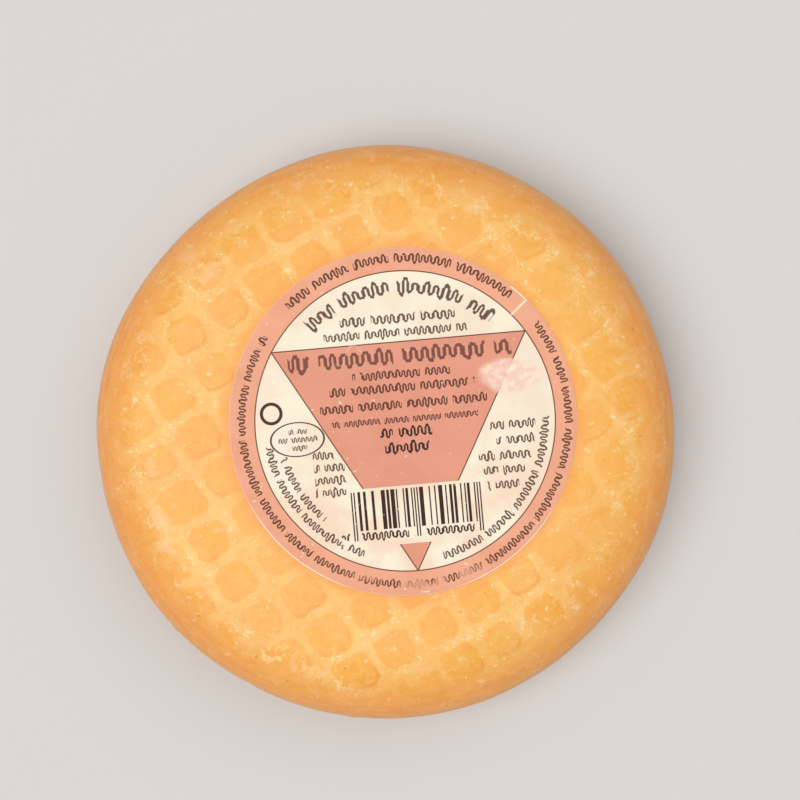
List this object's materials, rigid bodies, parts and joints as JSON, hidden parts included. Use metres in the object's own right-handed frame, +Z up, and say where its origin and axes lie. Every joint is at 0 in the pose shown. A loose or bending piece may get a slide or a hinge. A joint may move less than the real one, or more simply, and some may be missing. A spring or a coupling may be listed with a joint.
{
  "type": "small cured cheese wheel",
  "caption": "Small flat wheel of cured cheese with a bulging rounded edge and a round paper label on its top face.",
  "frame": {"origin": "middle of the wheel's box in X and Y, on the surface that the wheel rests on", "axes": "+Z up, square to the wheel's two flat faces, with the label on top; +Y towards the top of the label's print, which is turned about 5 degrees"},
  "size_m": [0.1106, 0.11, 0.0272],
  "materials": {
    "cheese_rind": "satin",
    "label_paper": "matte"
  },
  "bodies": {
    "root": {"cheese": "cheese_rind", "paper_label": "label_paper"}
  },
  "joints": []
}
